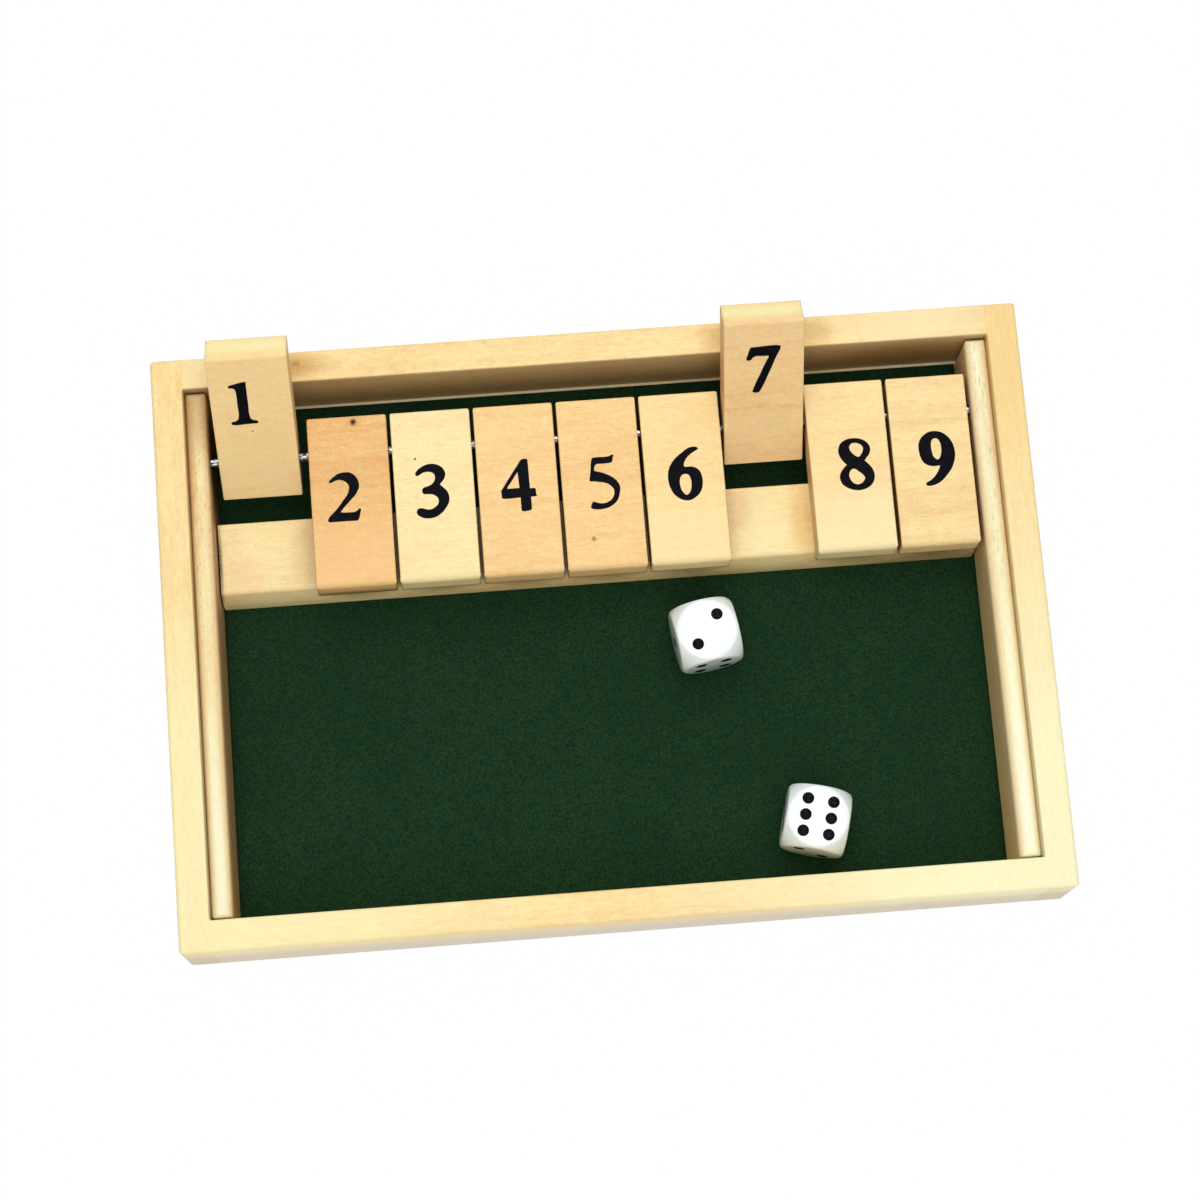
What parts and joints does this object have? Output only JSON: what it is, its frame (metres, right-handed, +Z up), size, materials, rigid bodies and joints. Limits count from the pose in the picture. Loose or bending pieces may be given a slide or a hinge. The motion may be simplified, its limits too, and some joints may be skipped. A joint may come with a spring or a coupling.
{
  "type": "shut the box game",
  "caption": "Shallow wooden dice tray with a felt floor and numbered tiles that swing up on one steel rod, with a pair of dice.",
  "frame": {"origin": "on the ground under the middle of the tray", "axes": "+X to the player's right along the rod, +Y away from the player towards the back rail, +Z up"},
  "size_m": [0.22, 0.15, 0.0486],
  "materials": {
    "wood_rails": "sanded, clear matt lacquer",
    "wood_board": "plain sanded plywood",
    "wood_strips": "sanded, clear matt lacquer",
    "wood_pale": "sanded, clear satin lacquer",
    "wood_mid": "sanded, clear satin lacquer",
    "wood_orange": "sanded, clear satin lacquer",
    "wood_tan": "sanded, clear satin lacquer",
    "felt": "short napped felt",
    "steel_rod": "bright drawn steel",
    "dice_plastic": "polished white plastic",
    "black_paint": "black printing ink and paint"
  },
  "bodies": {
    "tray": {"left_rail": "wood_rails", "right_rail": "wood_rails", "front_rail": "wood_rails", "back_rail": "wood_rails", "base_board": "wood_board", "felt_lining": "felt", "left_strip": "wood_strips", "right_strip": "wood_strips", "rest_bar": "wood_strips", "axle_rod": "steel_rod"},
    "tile_1": {"tile_1": "wood_tan"},
    "tile_2": {"tile_2": "wood_orange"},
    "tile_3": {"tile_3": "wood_pale"},
    "tile_4": {"tile_4": "wood_mid"},
    "tile_5": {"tile_5": "wood_orange"},
    "tile_6": {"tile_6": "wood_pale"},
    "tile_7": {"tile_7": "wood_tan"},
    "tile_8": {"tile_8": "wood_pale"},
    "tile_9": {"tile_9": "wood_mid"},
    "die_1": {"die_1": "dice_plastic"},
    "die_2": {"die_2": "dice_plastic"}
  },
  "joints": [
    {"name": "tile_1_swing", "type": "hinge", "parent": "tray", "child": "tile_1", "pos_m": [-0.08415, 0.0491, 0.01815], "axis": [-1, 0, 0], "range_deg": [-127.5, 17]},
    {"name": "tile_2_swing", "type": "hinge", "parent": "tray", "child": "tile_2", "pos_m": [-0.06165, 0.0491, 0.01815], "axis": [-1, 0, 0], "range_deg": [0, 144.5]},
    {"name": "tile_3_swing", "type": "hinge", "parent": "tray", "child": "tile_3", "pos_m": [-0.04065, 0.0491, 0.01815], "axis": [-1, 0, 0], "range_deg": [0, 144.5]},
    {"name": "tile_4_swing", "type": "hinge", "parent": "tray", "child": "tile_4", "pos_m": [-0.01965, 0.0491, 0.01815], "axis": [-1, 0, 0], "range_deg": [0, 144.5]},
    {"name": "tile_5_swing", "type": "hinge", "parent": "tray", "child": "tile_5", "pos_m": [0.00135, 0.0491, 0.01815], "axis": [-1, 0, 0], "range_deg": [0, 144.5]},
    {"name": "tile_6_swing", "type": "hinge", "parent": "tray", "child": "tile_6", "pos_m": [0.02235, 0.0491, 0.01815], "axis": [-1, 0, 0], "range_deg": [0, 144.5]},
    {"name": "tile_7_swing", "type": "hinge", "parent": "tray", "child": "tile_7", "pos_m": [0.04335, 0.0491, 0.01815], "axis": [-1, 0, 0], "range_deg": [-127.5, 17]},
    {"name": "tile_8_swing", "type": "hinge", "parent": "tray", "child": "tile_8", "pos_m": [0.06435, 0.0491, 0.01815], "axis": [-1, 0, 0], "range_deg": [0, 144.5]},
    {"name": "tile_9_swing", "type": "hinge", "parent": "tray", "child": "tile_9", "pos_m": [0.08535, 0.0491, 0.01815], "axis": [-1, 0, 0], "range_deg": [0, 144.5]},
    {"name": "die_1_lift", "type": "slide", "parent": "tray", "child": "die_1", "axis": [0, 0, 1], "range_m": [0, 0.06]},
    {"name": "die_2_lift", "type": "slide", "parent": "tray", "child": "die_2", "axis": [0, 0, 1], "range_m": [0, 0.06]}
  ]
}
